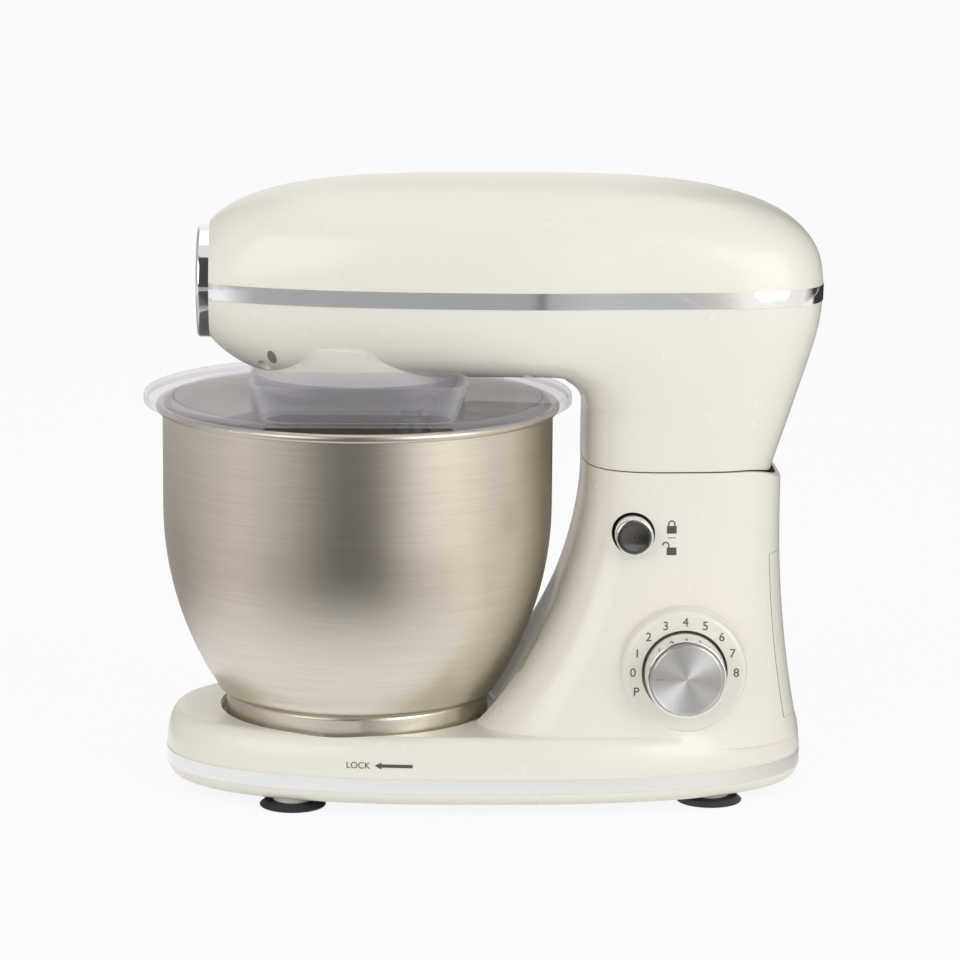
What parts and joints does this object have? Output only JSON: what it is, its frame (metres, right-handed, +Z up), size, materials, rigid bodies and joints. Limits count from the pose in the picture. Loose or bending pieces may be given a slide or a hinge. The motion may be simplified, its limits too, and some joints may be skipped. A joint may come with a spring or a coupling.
{
  "type": "stand mixer",
  "caption": "Domestic tilt-head stand mixer: cream moulded body, steel bowl locked to the base, clear splash guard with feed chute, planetary beater, speed dial and head release button.",
  "frame": {"origin": "centre of the footprint box on the worktop plane, under the feet", "axes": "+X from the nose to the back of the head, +Z up, the dial and release button face -Y"},
  "size_m": [0.3809, 0.241, 0.3476],
  "materials": {
    "cream_shell": "gloss cream moulded plastic",
    "chrome_trim": "bright chrome plating",
    "silver_trim": "satin silver strip",
    "bowl_steel": "brushed warm stainless steel",
    "clear_guard": "clear moulded plastic",
    "black_rubber": "matt black rubber",
    "spun_aluminium": "spun aluminium",
    "cast_aluminium": "cast aluminium",
    "steel_part": "machined steel",
    "black_plastic": "matt black plastic",
    "grey_plastic": "matt grey plastic",
    "bronze_bush": "sintered bronze",
    "copper_winding": "enamelled copper wire",
    "board_green": "green circuit board",
    "gear_nylon": "natural nylon"
  },
  "bodies": {
    "base": {"base_shell": "cream_shell", "rear_cover": "cream_shell", "base_plate": "grey_plastic", "base_trim": "silver_trim", "suction_feet": "black_rubber", "foot_stems": "cream_shell", "base_screws": "steel_part", "bowl_seat": "cream_shell", "hinge_yoke": "steel_part", "hinge_pin": "steel_part", "dial_bezel": "cream_shell", "speed_switch": "black_plastic", "control_board": "board_green", "button_sleeve": "black_plastic", "latch_spring": "steel_part", "cord_gland": "black_rubber"},
    "head": {"head_lower_housing": "cream_shell", "head_upper_cover": "cream_shell", "head_trim": "chrome_trim", "nose_cap": "chrome_trim", "head_screws": "steel_part", "chassis_plate": "steel_part", "chassis_screws": "steel_part", "hinge_arms": "steel_part", "latch_catch": "steel_part", "motor_can": "steel_part", "motor_end_cap": "cast_aluminium", "motor_bearings": "bronze_bush", "stator_core": "steel_part", "field_windings": "copper_winding", "drive_belt": "black_rubber", "ring_gear": "gear_nylon", "gear_deck": "cast_aluminium", "shaft_bushes": "bronze_bush", "splash_guard": "clear_guard", "feed_chute": "clear_guard"},
    "planetary": {"planetary_housing": "cream_shell", "carrier_shaft": "steel_part", "main_gear": "gear_nylon", "tool_bush": "bronze_bush"},
    "tool": {"tool_shaft": "steel_part", "planet_pinion": "gear_nylon", "shaft_pin": "steel_part", "flat_beater": "cast_aluminium"},
    "layshaft": {"layshaft": "steel_part", "layshaft_pinion": "steel_part", "driven_pulley": "gear_nylon"},
    "rotor": {"motor_shaft": "steel_part", "rotor_core": "steel_part", "rotor_windings": "copper_winding", "motor_pulley": "cast_aluminium", "cooling_fan": "black_plastic"},
    "bowl": {"bowl_body": "bowl_steel", "bowl_foot_ring": "bowl_steel"},
    "dial": {"speed_knob": "chrome_trim", "knob_face": "spun_aluminium", "knob_shaft": "steel_part"},
    "button": {"release_button": "chrome_trim", "latch_bolt": "steel_part"}
  },
  "joints": [
    {"name": "head_tilt", "type": "hinge", "parent": "base", "child": "head", "pos_m": [0.144, 0, 0.15], "axis": [0, 1, 0], "range_deg": [0, 35]},
    {"name": "planetary_spin", "type": "hinge", "parent": "head", "child": "planetary", "pos_m": [-0.07, 0, 0.226], "axis": [0, 0, 1], "continuous": true},
    {"name": "tool_spin", "type": "hinge", "parent": "planetary", "child": "tool", "pos_m": [-0.04, 0, 0.226], "axis": [0, 0, 1], "continuous": true},
    {"name": "layshaft_spin", "type": "hinge", "parent": "head", "child": "layshaft", "pos_m": [-0.0325, 0, 0.265], "axis": [0, 0, 1], "continuous": true},
    {"name": "motor_spin", "type": "hinge", "parent": "head", "child": "rotor", "pos_m": [0.105, 0, 0.236], "axis": [0, 0, 1], "continuous": true},
    {"name": "dial_turn", "type": "hinge", "parent": "base", "child": "dial", "pos_m": [0.111, -0.08, 0.0795], "axis": [0, 1, 0], "range_deg": [-22.5, 180]},
    {"name": "release_press", "type": "slide", "parent": "base", "child": "button", "axis": [0, 1, 0], "range_m": [0, 0.005], "stiffness_N_per_m": 800, "deforming": ["latch_spring"]},
    {"name": "bowl_twist", "type": "hinge", "parent": "base", "child": "bowl", "pos_m": [-0.07, 0, 0.04], "axis": [0, 0, 1], "range_deg": [0, 30]}
  ],
  "couplings": [
    {"joint": "tool_spin", "follows": "planetary_spin", "ratio": -3},
    {"joint": "layshaft_spin", "follows": "planetary_spin", "ratio": -4},
    {"joint": "motor_spin", "follows": "planetary_spin", "ratio": -16}
  ]
}
